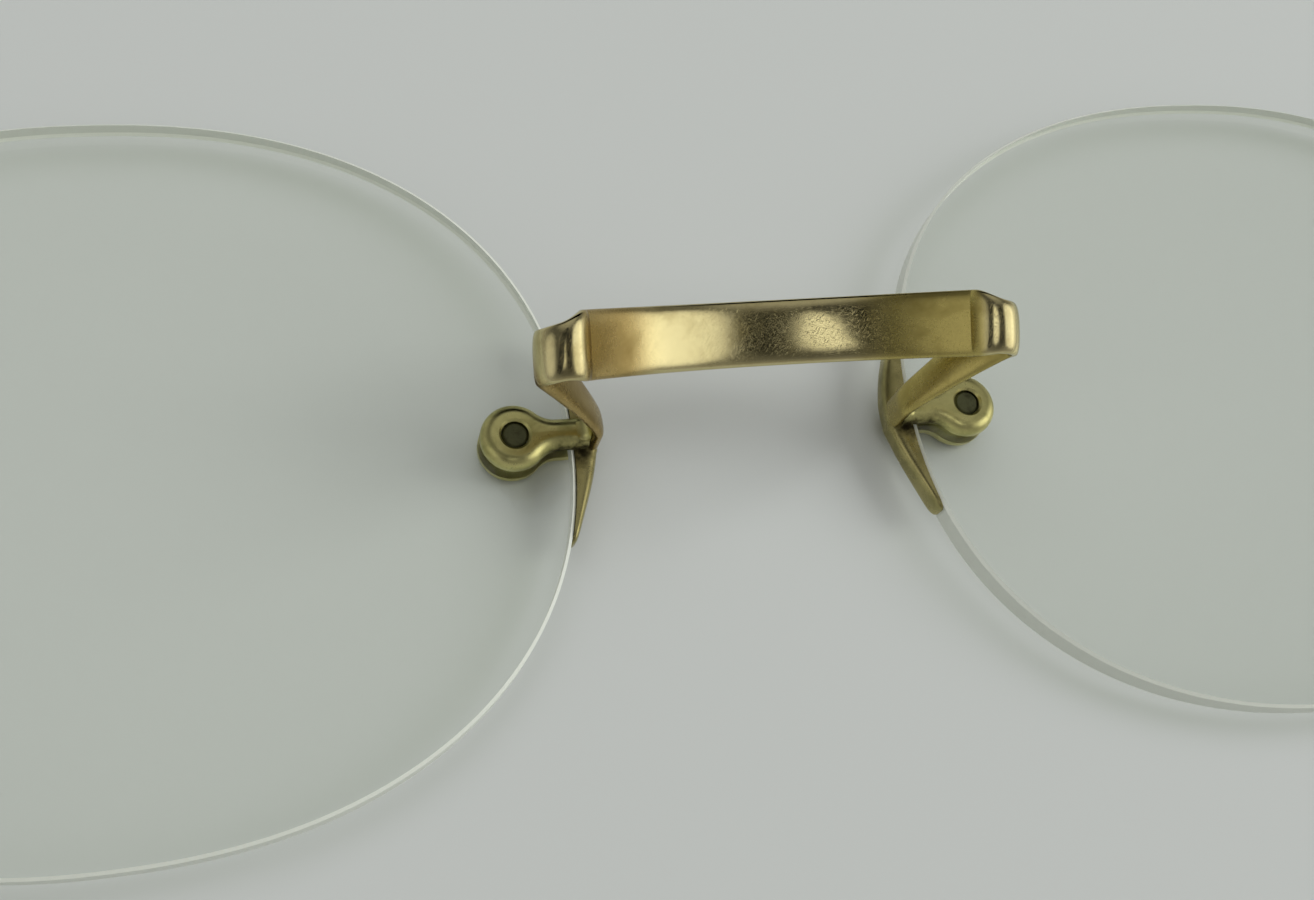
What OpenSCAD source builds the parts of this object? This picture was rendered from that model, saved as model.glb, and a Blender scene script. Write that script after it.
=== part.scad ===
// Rimless pince nez with a looped saddle bridge, lying on its front.
// X runs across the face with the wearer's right at +X, Y runs up the face, and Z runs to the wearer.
// The fronts of the two front straps lie on Z = 0, and X = 0 is the plane of symmetry.

/* [Lenses] */
// Width of one lens
lens_w = 37.1; // [30:0.1:44]
// Height of one lens
lens_h = 31; // [25:0.1:37]
// Fullness of the oval, 2 is an ellipse and more is squarer
lens_fullness = 2.21; // [2:0.01:3]
// Gap between the lenses at its narrowest
lens_gap = 15.36; // [14:0.02:19]
// Thickness of the glass at its edge by the nose
lens_edge_t = 1.3; // [1:0.02:2]
// Radius of the convex front of the lens, the back is flat
lens_front_r = 530; // [350:10:1500]
// Distance of the drilled hole from the edge of the lens
hole_inset = 2.5; // [2:0.02:3.5]
// Distance of the holes below the middle of the lenses
hole_drop = 0.18; // [0:0.01:0.4]
// Diameter of the drilled hole in the glass
lens_hole_d = 1.45; // [1.2:0.05:1.9]

/* [Lens screws] */
// Diameter of the screw's shank
screw_d = 1.1; // [0.9:0.05:1.15]
// Running clearance round the screw, on the radius
screw_clear = 0.03; // [0.02:0.01:0.08]
// Diameter of the countersunk head
head_d = 1.9; // [1.6:0.05:2]
// Depth of the head below the face of the strap
head_sink = 0.05; // [0:0.01:0.1]
// Height of the head's straight rim
head_rim = 0.08; // [0.02:0.01:0.12]
// Width of the slot in the head
slot_w = 0.26; // [0.15:0.01:0.4]
// Depth of the slot
slot_h = 0.2; // [0.1:0.01:0.3]
// Distance of the screw's end below the face of the rear strap
tip_recess = 0.12; // [0:0.01:0.3]
// Chamfer at the screw's end
tip_chamfer = 0.1; // [0.02:0.01:0.2]

/* [Straps] */
// Thickness of a strap at its hole
strap_t = 0.7; // [0.6:0.02:1]
// Radius of the strap's round end
strap_end_r = 1.42; // [1.25:0.01:1.8]
// Width of the strap's neck
neck_w = 1.3; // [1:0.05:1.8]
// Radius of the hollow between the neck and the round end
neck_hollow_r = 1.2; // [0.6:0.05:2]
// Rounding of the strap's outer edges
strap_round = 0.4; // [0.1:0.02:0.46]
// Radius of the brazed fillet between the rear strap and the bridge's foot
braze_r = 0.5; // [0.2:0.05:0.8]

/* [Shoes] */
// Length of each arm from the middle of the shoe
shoe_reach = 4.8; // [3:0.1:7]
// Thickness of an arm at its root
shoe_root_t = 1.05; // [0.85:0.01:1.2]
// Thickness of an arm near its tip
shoe_tip_t = 0.3; // [0.2:0.01:0.45]
// Width of the block that carries the bridge
block_w = 1.9; // [1.6:0.05:2.4]
// Gap between the shoe and the edge of the glass
shoe_gap = 0.03; // [0.02:0.01:0.1]

/* [Bridge] */
// Lean of the crest towards the wearer, in degrees
crest_lean = 25.5; // [15:0.5:40]
// Width of the strip at the crest
crest_w = 2.72; // [2:0.02:3.6]
// Thickness of the strip at the crest
crest_t = 0.6; // [0.45:0.01:0.8]
// Radius of the crest's arch at the middle of the strip
crest_r = 11.5; // [10:0.05:20]
// Distance between the ends of the crest
crest_span = 16.1; // [13:0.1:18.5]
// Height of the crest above the backs of the lenses, along its lean
crest_rise = 2.35; // [1:0.01:5]
// Distance of the strip's middle from the line between the holes, across its lean
crest_offset = 3.7; // [3:0.01:6]
// Radius of the crease between the crest and the loop
crease_r = 0.32; // [0.28:0.01:0.6]
// Turn of the strip at the crease, in degrees
crease_sweep = 28; // [15:1:45]
// Radius of the loop at the middle of the strip
loop_r = 0.88; // [0.6:0.01:1.3]
// Turn of the strip in the loop, in degrees
loop_sweep = 171; // [155:1:200]
// Width of the strip where the loop begins
loop_w = 2.26; // [1.8:0.02:3]
// Width of the strip where the loop ends
shank_w = 2.16; // [1.6:0.02:2.6]
// Drop of the strip's middle through the loop
loop_drop = 0.4; // [0:0.02:0.6]
// Thickness of the strip in the loops and the shanks
loop_t = 0.5; // [0.4:0.01:0.6]
// Width of the foot that is brazed to the shoe
foot_w = 1.3; // [1:0.02:1.8]
// Distance of the foot's middle below the line between the holes
foot_drop = 0.24; // [0:0.01:0.6]
// Distance of the foot in from the nasal face of the shoe
foot_inset = 0; // [0:0.01:0.2]
// Length of the straight foot above the backs of the lenses
foot_rise = 1.2; // [0.8:0.05:1.6]

/* [Hidden] */
$fn = 72;
overlap = 1;
lens_sides = 168;
front_sides = 180;
front_bands = 6;
strip_sides = 24;
foot_steps = 4;
shank_steps = 14;
loop_steps = 22;
crease_steps = 4;
crest_steps = 16;
shoe_steps = 40;
shoe_sides = 14;
strip_squareness = 3.6;
shoe_squareness = 2.5;
shoe_blunt = 9;
shank_pull = 0.35;
foot_pull = 0.45;
half_w = lens_w / 2;
half_h = lens_h / 2;
lens_x = lens_gap / 2 + half_w;
hole_x = lens_gap / 2 + hole_inset;
glass_r = half_w - hole_inset;
vertex_z = strap_t - front_sag(glass_r);
edge_front_z = vertex_z + front_sag(half_w);
back_z = edge_front_z + lens_edge_t;
top_z = back_z + strap_t;
screw_r = screw_d / 2;
bore_r = screw_r + screw_clear;
head_cone = (head_d - screw_d) / 2;
block_x = lens_gap / 2 - shoe_gap - shoe_root_t;
foot_x = block_x + foot_inset + loop_t / 2;
strap_root = hole_x - foot_x - loop_t / 2;

// Depth of the lens's front below its vertex plane at a radius from the optical centre
function front_sag(r) = lens_front_r - sqrt(lens_front_r * lens_front_r - r * r);

// Sign-keeping power, the building block of the superellipses
function spow(v, n) = sign(v) * pow(abs(v), 2 / n);

// Outline of a lens round its own centre
function lens_outline() = [
    for (i = [0 : lens_sides - 1]) let (a = 360 * i / lens_sides)
        [half_w * spow(cos(a), lens_fullness), half_h * spow(sin(a), lens_fullness)]
];

// X of the right lens's nasal edge at a height y
function edge_x(y) = lens_x - half_w * pow(1 - pow(abs(y) / half_h, lens_fullness), 1 / lens_fullness);

// Smooth step from 0 to 1
function ease(u) = u * u * (3 - 2 * u);

function unit(v) = v / norm(v);

// One ring of a swept strip: a superellipse with its width along across, square to along
function strip_ring(middle, along, across, w, t) =
    let (side = unit(across - (across * unit(along)) * unit(along)), up = cross(side, unit(along)))
    [for (j = [0 : strip_sides - 1]) let (a = 360 * j / strip_sides)
        middle + side * (w / 2 * spow(cos(a), strip_squareness)) + up * (t / 2 * spow(sin(a), strip_squareness))];

// Triangles of a skin over rings of equal length, closed by two flat ends
function skin_faces(rings, sides) = concat(
    [for (i = [0 : rings - 2], j = [0 : sides - 1]) let (k = (j + 1) % sides)
        [i * sides + j, (i + 1) * sides + j, (i + 1) * sides + k]],
    [for (i = [0 : rings - 2], j = [0 : sides - 1]) let (k = (j + 1) % sides)
        [i * sides + j, (i + 1) * sides + k, i * sides + k]],
    [[for (j = [0 : sides - 1]) j]],
    [[for (j = [sides - 1 : -1 : 0]) (rings - 1) * sides + j]]
);

module skin(rings) {
    polyhedron([for (ring = rings, p = ring) p], skin_faces(len(rings), len(rings[0])));
}

// The strip is bent in a leaning plane. A place in that plane is [x, depth], and a heading is in degrees.
function lean(p, aside = 0) = [
    p[0],
    (crest_offset + aside) * cos(crest_lean) - p[1] * sin(crest_lean),
    back_z + (crest_offset + aside) * sin(crest_lean) + p[1] * cos(crest_lean)
];
function lean_heading(h) = [cos(h), -sin(h) * sin(crest_lean), sin(h) * cos(crest_lean)];
lean_across = [0, cos(crest_lean), sin(crest_lean)];

// Place on an arc that starts at a place with a heading and turns left by a positive angle
function on_arc(start, heading, r, turn) =
    let (s = sign(turn))
    start + s * r * [sin(heading + turn) - sin(heading), cos(heading) - cos(heading + turn)];

crest_mid = [0, crest_rise];
crest_sweep = asin(crest_span / 2 / crest_r);
crest_end = on_arc(crest_mid, 0, crest_r, crest_sweep);
crease_end = on_arc(crest_end, crest_sweep, crease_r, crease_sweep);
loop_start = crest_sweep + crease_sweep;
loop_end = on_arc(crease_end, loop_start, loop_r, -loop_sweep);
shank_heading = loop_start - loop_sweep;
shank_top = lean(loop_end, -loop_drop);
foot_top = [foot_x, -foot_drop, back_z + foot_rise];
foot_end = [foot_x, -foot_drop, back_z];
shank_len = norm(shank_top - foot_top);

// A size that passes from one value to another as u goes from 0 to 1
function blend(u, first, last) = first + (last - first) * ease(u);

// Cubic from the loop to the top of the foot
shank_d0 = lean_heading(shank_heading) * shank_len * shank_pull;
shank_d1 = [0, 0, -1] * shank_len * foot_pull;
function shank_at(u) =
    shank_top * (2 * u * u * u - 3 * u * u + 1) + shank_d0 * (u * u * u - 2 * u * u + u)
    + foot_top * (3 * u * u - 2 * u * u * u) + shank_d1 * (u * u * u - u * u);
function shank_along(u) =
    shank_top * (6 * u * u - 6 * u) + shank_d0 * (3 * u * u - 4 * u + 1)
    + foot_top * (6 * u - 6 * u * u) + shank_d1 * (3 * u * u - 2 * u);

function crest_rings() = [for (i = [0 : crest_steps]) let (u = i / crest_steps, a = crest_sweep * u)
    strip_ring(lean(on_arc(crest_mid, 0, crest_r, a)), lean_heading(a), lean_across,
        crest_w, blend(u, crest_t, loop_t))];
function crease_rings() = [for (i = [1 : crease_steps]) let (u = i / crease_steps, a = crease_sweep * u)
    strip_ring(lean(on_arc(crest_end, crest_sweep, crease_r, a)), lean_heading(crest_sweep + a),
        lean_across, blend(u, crest_w, loop_w), loop_t)];
function loop_rings() = [for (i = [1 : loop_steps]) let (u = i / loop_steps, a = loop_sweep * u)
    strip_ring(lean(on_arc(crease_end, loop_start, loop_r, -a), blend(u, 0, -loop_drop)),
        lean_heading(loop_start - a), lean_across, blend(u, loop_w, shank_w), loop_t)];
function shank_rings() = [for (i = [1 : shank_steps]) let (u = i / shank_steps)
    strip_ring(shank_at(u), shank_along(u), blend(u, lean_across, [0, 1, 0]),
        blend(u, shank_w, foot_w), loop_t)];
function foot_rings() = [for (i = [1 : foot_steps]) let (u = i / foot_steps)
    strip_ring(foot_top * (1 - u) + foot_end * u, [0, 0, -1], [0, 1, 0], foot_w, loop_t)];

function flip(ring) = [for (p = ring) [-p[0], p[1], p[2]]];

module saddle_bridge() {
    right = concat(crest_rings(), crease_rings(), loop_rings(), shank_rings(), foot_rings());
    last = len(right) - 1;
    color("darkkhaki")
        skin(concat([for (i = [last : -1 : 1]) flip(right[i])], right));
}

// Everything behind the convex front of the right lens, out past its rim
module behind_front() {
    reach = half_w + overlap;
    translate([lens_x, 0, vertex_z])
        rotate_extrude($fn = front_sides)
            polygon(concat(
                [for (i = [0 : front_bands]) let (r = reach * i / front_bands) [r, front_sag(r)]],
                [[reach, top_z], [0, top_z]]
            ));
}

module lens() {
    color([0.86, 0.92, 0.88, 0.35])
        difference() {
            intersection() {
                behind_front();
                translate([lens_x, 0, 0])
                    linear_extrude(back_z)
                        polygon(lens_outline());
            }
            translate([hole_x, -hole_drop, -overlap])
                cylinder(d = lens_hole_d, h = top_z + 2 * overlap);
        }
}

// Arms of the right shoe, a half-round strip that narrows to round tips
function shoe_ring(u) =
    let (
        y = shoe_reach * u,
        step = 0.01,
        slope = (edge_x(abs(y) + step) - edge_x(abs(y))) / step * sign(u),
        out = unit([-1, slope]),
        blunt = sqrt(1 - pow(abs(u), shoe_blunt)),
        h = (shoe_root_t + (shoe_tip_t - shoe_root_t) * ease(abs(u))) * blunt,
        w = lens_edge_t * (0.35 + 0.65 * blunt),
        base = [edge_x(y), y] + out * shoe_gap,
        z = edge_front_z + lens_edge_t / 2
    )
    [for (j = [0 : shoe_sides]) let (a = 180 * j / shoe_sides, rise = h * spow(sin(a), shoe_squareness))
        [base[0] + out[0] * rise, base[1] + out[1] * rise, z - w / 2 * spow(cos(a), shoe_squareness)]];

module shoe() {
    color("darkkhaki") {
        skin([for (i = [0 : shoe_steps]) shoe_ring((2 * i / shoe_steps - 1) * 0.995)]);
        translate([block_x, -foot_drop - block_w / 2, edge_front_z])
            cube([shoe_root_t, block_w, lens_edge_t]);
    }
}

// Section of a plate's edge with its upper corner rounded, out to a radius
module rounded_edge(r, t) {
    square([r - strap_round, t]);
    square([r, t - strap_round]);
    intersection() {
        translate([r - strap_round, t - strap_round])
            circle(strap_round);
        square([r, t]);
    }
}

// Cutter for a hollow side with the same rounded upper corner
module hollow_edge(r, t) {
    square([r, t + overlap]);
    difference() {
        translate([0, t - strap_round])
            square([r + strap_round, strap_round + overlap]);
        translate([r + strap_round, t - strap_round])
            circle(strap_round);
    }
}

// Plate of one strap with its inner face on Z = 0, its hole at the origin and its root at -X
module strap_plate(t, root) {
    hollow_y = neck_w / 2 + neck_hollow_r;
    hollow_x = sqrt(pow(strap_end_r + neck_hollow_r, 2) - pow(hollow_y, 2));
    rotate_extrude()
        rounded_edge(strap_end_r, t);
    intersection() {
        translate([-root, 0, 0])
            rotate([90, 0, 90])
                linear_extrude(root) {
                    rounded_edge(neck_w / 2, t);
                    mirror([1, 0])
                        rounded_edge(neck_w / 2, t);
                }
        translate([-root, -neck_w / 2, 0])
            cube([root, neck_w, t]);
    }
    difference() {
        linear_extrude(t)
            polygon([[0, 0], [-hollow_x, hollow_y], [-hollow_x, -hollow_y]]);
        for (s = [-1, 1])
            translate([-hollow_x, s * hollow_y, 0])
                rotate_extrude()
                    hollow_edge(neck_hollow_r, t);
    }
}

module rear_strap() {
    color("olive")
        difference() {
            union() {
                translate([hole_x, -hole_drop, back_z])
                    strap_plate(strap_t, strap_root);
                translate([hole_x - strap_root, -hole_drop - neck_w / 2 + strap_round, top_z])
                    difference() {
                        cube([braze_r, neck_w - 2 * strap_round, braze_r]);
                        translate([braze_r, -overlap, braze_r])
                            rotate([-90, 0, 0])
                                cylinder(r = braze_r, h = neck_w + 2 * overlap);
                    }
            }
            translate([hole_x, -hole_drop, back_z - overlap])
                cylinder(r = bore_r, h = strap_t + 2 * overlap);
        }
}

module front_strap() {
    color("olive")
        difference() {
            translate([hole_x, -hole_drop, edge_front_z])
                mirror([0, 0, 1])
                    strap_plate(edge_front_z, hole_x - block_x);
            behind_front();
            translate([hole_x, -hole_drop, -overlap])
                cylinder(r = bore_r, h = top_z);
            translate([hole_x, -hole_drop, head_sink + head_rim])
                cylinder(r1 = head_d / 2 + screw_clear, r2 = bore_r, h = head_cone);
            translate([hole_x, -hole_drop, -overlap])
                cylinder(r = head_d / 2 + screw_clear, h = overlap + head_sink + head_rim);
        }
}

module lens_screw() {
    tip_z = top_z - tip_recess;
    color("dimgray")
        translate([hole_x, -hole_drop, 0])
            difference() {
                union() {
                    translate([0, 0, head_sink])
                        cylinder(d = head_d, h = head_rim);
                    translate([0, 0, head_sink + head_rim])
                        cylinder(d1 = head_d, d2 = screw_d, h = head_cone);
                    translate([0, 0, head_sink])
                        cylinder(d = screw_d, h = tip_z - tip_chamfer - head_sink);
                    translate([0, 0, tip_z - tip_chamfer])
                        cylinder(r1 = screw_r, r2 = screw_r - tip_chamfer, h = tip_chamfer);
                }
                translate([-head_d, -slot_w / 2, head_sink - overlap])
                    cube([2 * head_d, slot_w, overlap + slot_h]);
            }
}

module on_left() {
    mirror([1, 0, 0])
        children();
}

on_left() lens();  // left_lens
lens();  // right_lens
saddle_bridge();
on_left() shoe();  // left_shoe
shoe();  // right_shoe
on_left() rear_strap();  // left_rear_strap
rear_strap();  // right_rear_strap
on_left() front_strap();  // left_front_strap
front_strap();  // right_front_strap
on_left() lens_screw();  // left_lens_screw
lens_screw();  // right_lens_screw
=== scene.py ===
"""Finishes, fine forms, lights and camera of a rimless pince nez with a looped saddle bridge.

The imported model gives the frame. Every piece here stands for one of its nodes, in the same place
and to the same sizes, with the softer edges, threads and finishes of the real one.
"""
from __future__ import annotations

import logging
import math
from dataclasses import dataclass, field
from enum import Enum
from typing import Sequence

import bmesh
import bpy
import numpy as np
from mathutils import Matrix, Vector


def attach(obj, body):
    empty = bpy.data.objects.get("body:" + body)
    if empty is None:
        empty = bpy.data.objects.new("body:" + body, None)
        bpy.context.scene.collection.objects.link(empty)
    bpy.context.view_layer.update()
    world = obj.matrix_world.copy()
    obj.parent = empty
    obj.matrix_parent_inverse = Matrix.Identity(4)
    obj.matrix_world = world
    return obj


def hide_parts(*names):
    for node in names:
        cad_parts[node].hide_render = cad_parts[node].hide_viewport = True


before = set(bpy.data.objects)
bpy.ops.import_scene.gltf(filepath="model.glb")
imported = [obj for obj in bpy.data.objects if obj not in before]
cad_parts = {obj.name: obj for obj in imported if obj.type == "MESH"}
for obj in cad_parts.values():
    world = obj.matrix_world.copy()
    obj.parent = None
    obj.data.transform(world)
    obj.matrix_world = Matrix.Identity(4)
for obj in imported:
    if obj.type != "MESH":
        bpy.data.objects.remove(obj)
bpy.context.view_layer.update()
LOG = logging.getLogger("pince_nez")
MM = 0.001
FRAME_BODY = "bridge_and_lenses"
CRISP = 38.0  # degrees that an edge bends by before it stays crisp
WELD_CRISP = 25.0
WELD_GAP = 1e-7
FINE_POINTS = 721  # points that an outline is measured along
SCRATCH_DEPTH = 0.00002  # in metres, on metal
GRIND_DEPTH = 0.00003  # in metres, on the ground edge of the glass
Array = np.ndarray
Socket = bpy.types.NodeSocket
Triple = tuple[float, float, float]


class Side(Enum):
    """The wearer's left or right, as the sign of X."""

    LEFT = -1
    RIGHT = 1

    @property
    def word(self) -> str:
        """The side's word in node names."""
        return self.name.lower()


def ease(u: float) -> float:
    """Smooth step from 0 to 1."""
    u = min(1.0, max(0.0, u))
    return u * u * (3 - 2 * u)


def blend(u: float, first: float, last: float) -> float:
    """A size that passes from first to last as u goes from 0 to 1."""
    return first + (last - first) * ease(u)


def shares(count: int, first: int = 1) -> list[float]:
    """Even shares that end at 1."""
    return [i / count for i in range(first, count + 1)]


def unit(v: Array) -> Array:
    """The vector's direction."""
    return v / np.linalg.norm(v)


def at_height(p: Array, z: Array | float) -> Array:
    """Places in a plane with their heights."""
    return np.column_stack([p, np.broadcast_to(z, len(p))])


def evenly(path: Array, count: int) -> Array:
    """Spaces points evenly along a closed path.

    Args:
        path: the path, which ends where it starts.
        count: number of points.

    Returns:
        A count by 2 array.
    """
    run = np.concatenate([[0], np.cumsum(np.hypot(*np.diff(path, axis=0).T))])
    at = np.linspace(0, run[-1], count, endpoint=False)
    return np.column_stack([np.interp(at, run, path[:, 0]), np.interp(at, run, path[:, 1])])


def rounded_section(width: float, height: float, squareness: float, sides: int) -> Array:
    """Outline of a superellipse, its points evenly spaced along it.

    Args:
        width: full size along the first axis.
        height: full size along the second axis.
        squareness: 2 is an ellipse, and more is squarer.
        sides: number of points.

    Returns:
        A sides by 2 array.
    """
    a = np.linspace(0, 2 * math.pi, FINE_POINTS)
    c, s = np.cos(a), np.sin(a)
    x = width / 2 * np.sign(c) * np.abs(c) ** (2 / squareness)
    y = height / 2 * np.sign(s) * np.abs(s) ** (2 / squareness)
    return evenly(np.column_stack([x, y]), sides)


@dataclass
class Sheet:
    """Points and faces collected for one mesh, in millimetres."""

    points: list[Array] = field(default_factory=list)
    faces: list[tuple[int, ...]] = field(default_factory=list)
    slots: list[int] = field(default_factory=list)

    def add_points(self, points: Array) -> int:
        """Adds points and returns the number of the first."""
        self.points.append(np.asarray(points, float))
        return sum(len(p) for p in self.points[:-1])

    def add_face(self, face: Sequence[int], slot: int = 0) -> None:
        """Adds one face."""
        self.faces.append(tuple(int(i) for i in face))
        self.slots.append(slot)

    def add_rings(self, rings: Sequence[Array], capped: bool = False, slot: int = 0) -> None:
        """Adds a skin over rings of equal length.

        Args:
            rings: the rings, in order. Each of them joins up with itself.
            capped: whether the first and the last ring are filled.
            slot: the material slot.
        """
        count = len(rings[0])
        first = self.add_points(np.concatenate([np.asarray(r, float) for r in rings]))
        last = first + (len(rings) - 1) * count
        for low in range(first, last, count):
            for j in range(count):
                k = (j + 1) % count
                self.add_face((low + j, low + count + j, low + count + k, low + k), slot)
        if capped:
            self.add_face(range(first, first + count), slot)
            self.add_face(range(last + count - 1, last - 1, -1), slot)

    def make(self, name: str, side: Side | None, materials: Sequence[bpy.types.Material]) -> bpy.types.Object:
        """Builds the mesh and links it to the scene.

        Args:
            name: the piece's name.
            side: LEFT mirrors the points across X = 0.
            materials: one for each slot.

        Returns:
            The new object.
        """
        points = np.concatenate(self.points) * MM
        faces = self.faces
        if side is Side.LEFT:
            points = points * np.array([-1, 1, 1])
            faces = [face[::-1] for face in faces]
        mesh = bpy.data.meshes.new(name)
        mesh.from_pydata(points.tolist(), [], faces)
        mesh.polygons.foreach_set("material_index", self.slots)
        mesh.polygons.foreach_set("use_smooth", [True] * len(faces))
        for material in materials:
            mesh.materials.append(material)
        mesh.update()
        mesh.set_sharp_from_angle(angle=math.radians(CRISP))
        mesh.validate()
        piece = bpy.data.objects.new(name, mesh)
        bpy.context.scene.collection.objects.link(piece)
        return piece


def weld(piece: bpy.types.Object) -> None:
    """Joins the seams between the parts of a skin, so that the piece is one closed body.

    Args:
        piece: the piece to close.
    """
    mesh = bmesh.new()
    mesh.from_mesh(piece.data)
    bmesh.ops.remove_doubles(mesh, verts=mesh.verts, dist=WELD_GAP)
    bmesh.ops.recalc_face_normals(mesh, faces=mesh.faces)
    mesh.to_mesh(piece.data)
    mesh.free()
    piece.data.set_sharp_from_angle(angle=math.radians(WELD_CRISP))


def settle(piece: bpy.types.Object, node: str, body: str = FRAME_BODY) -> None:
    """Puts a piece in its node's place and on its body.

    Args:
        piece: the finished piece.
        node: the node that it stands for.
        body: the body that carries it.
    """
    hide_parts(node)
    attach(piece, body)
    LOG.info("%s stands for %s on %s, %d faces", piece.name, node, body, len(piece.data.polygons))


@dataclass(frozen=True)
class MountSizes:
    """Sizes that more than one piece shares, in millimetres."""

    lens_w: float = 37.1
    lens_h: float = 31.0
    lens_fullness: float = 2.21
    lens_gap: float = 15.36
    lens_edge_t: float = 1.3
    lens_front_r: float = 530.0
    hole_inset: float = 2.5
    hole_drop: float = 0.18
    strap_t: float = 0.7
    shoe_gap: float = 0.03
    shoe_root_t: float = 1.05
    loop_t: float = 0.5

    @property
    def half_w(self) -> float:
        """Half the width of a lens."""
        return self.lens_w / 2

    @property
    def lens_x(self) -> float:
        """X of a lens's middle."""
        return self.lens_gap / 2 + self.half_w

    @property
    def hole_x(self) -> float:
        """X of a drilled hole."""
        return self.lens_gap / 2 + self.hole_inset

    def front_sag(self, r: Array | float) -> Array | float:
        """Depth of a lens's convex front at a radius."""
        return self.lens_front_r - np.sqrt(self.lens_front_r ** 2 - np.asarray(r, float) ** 2)

    @property
    def vertex_z(self) -> float:
        """Z of the front's lowest point."""
        return self.strap_t - float(self.front_sag(self.half_w - self.hole_inset))

    @property
    def edge_front_z(self) -> float:
        """Z of the front at the lens's edge by the nose."""
        return self.vertex_z + float(self.front_sag(self.half_w))

    @property
    def back_z(self) -> float:
        """Z of the flat backs of the lenses."""
        return self.edge_front_z + self.lens_edge_t

    def edge_x(self, y: float) -> float:
        """X of the lens's edge by the nose at a height."""
        n = self.lens_fullness
        return self.lens_x - self.half_w * (1 - (abs(y) / (self.lens_h / 2)) ** n) ** (1 / n)

    @property
    def block_x(self) -> float:
        """X of the shoe's face by the nose."""
        return self.lens_gap / 2 - self.shoe_gap - self.shoe_root_t

    @property
    def foot_x(self) -> float:
        """X of the bridge's foot."""
        return self.block_x + self.loop_t / 2


SIZES = MountSizes()


class Nodes:
    """Short ways to build one tree of nodes."""

    def __init__(self, tree: bpy.types.NodeTree) -> None:
        """Empties a tree and starts it anew."""
        self.tree = tree
        tree.nodes.clear()

    def add(self, kind: str, inputs: dict[str | int, object] | None = None, **values: object
            ) -> bpy.types.Node:
        """Adds a node.

        Args:
            kind: the node's type, without the word that all of them start with.
            inputs: what goes into its inputs, by name or number. A socket is joined, and a value is set.
            **values: the node's own properties.

        Returns:
            The node.
        """
        node = self.tree.nodes.new("ShaderNode" + kind)
        for key, value in values.items():
            setattr(node, key, value)
        for key, value in (inputs or {}).items():
            if isinstance(value, Socket):
                self.tree.links.new(value, node.inputs[key])
            else:
                node.inputs[key].default_value = value
        return node

    def sums(self, operation: str, *terms: Socket | float, clamp: bool = False) -> Socket:
        """One sum of one to three terms."""
        return self.add("Math", dict(enumerate(terms)), operation=operation, use_clamp=clamp).outputs["Value"]

    def ramp(self, value: Socket, low: float | Socket = 0.0, high: float | Socket = 1.0,
             ends: tuple[float, float] = (0.0, 1.0), smooth: bool = False) -> Socket:
        """Passes between two ends while a value rises.

        Args:
            value: the value that rises.
            low: where the ramp starts.
            high: where it stops.
            ends: what it gives there.
            smooth: whether it eases in and out.

        Returns:
            What the ramp gives.
        """
        inputs = {"Value": value, "From Min": low, "From Max": high, "To Min": ends[0], "To Max": ends[1]}
        kind = "SMOOTHSTEP" if smooth else "LINEAR"
        return self.add("MapRange", inputs, interpolation_type=kind).outputs["Result"]

    def noise(self, where: Socket, scale: float | Socket, detail: float, roughness: float = 0.5,
              distortion: float = 0.0) -> Socket:
        """Soft clouds from 0 to 1.

        Args:
            where: the place.
            scale: clouds for each unit of length.
            detail: how many finer layers it has.
            roughness: how strong those are.
            distortion: how far the clouds are stirred.

        Returns:
            The clouds.
        """
        inputs = {"Vector": where, "Scale": scale, "Detail": detail, "Roughness": roughness,
                  "Distortion": distortion}
        return self.add("TexNoise", inputs).outputs["Fac"]


class GroupNodes(Nodes):
    """The nodes of an effect that several finishes share."""

    def __init__(self, name: str, values: dict[str, float], results: Sequence[str]) -> None:
        """Starts a group that works from a place in millimetres.

        Args:
            name: the group's name.
            values: its further inputs with their defaults.
            results: its outputs.
        """
        super().__init__(bpy.data.node_groups.new(name, "ShaderNodeTree"))
        socket = self.tree.interface.new_socket
        socket("Vector", in_out="INPUT", socket_type="NodeSocketVector")
        for key, value in values.items():
            socket(key, in_out="INPUT", socket_type="NodeSocketFloat").default_value = value
        for key in results:
            socket(key, in_out="OUTPUT", socket_type="NodeSocketFloat")
        self.start = self.tree.nodes.new("NodeGroupInput")
        self.end = self.tree.nodes.new("NodeGroupOutput")

    def given(self, key: str) -> Socket:
        """One of the group's inputs."""
        return self.start.outputs[key]

    def close(self, **results: Socket) -> bpy.types.NodeTree:
        """Joins the group's outputs.

        Args:
            **results: what each output gives, by name.

        Returns:
            The finished group.
        """
        for key, value in results.items():
            self.tree.links.new(value, self.end.inputs[key])
        return self.tree


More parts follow.
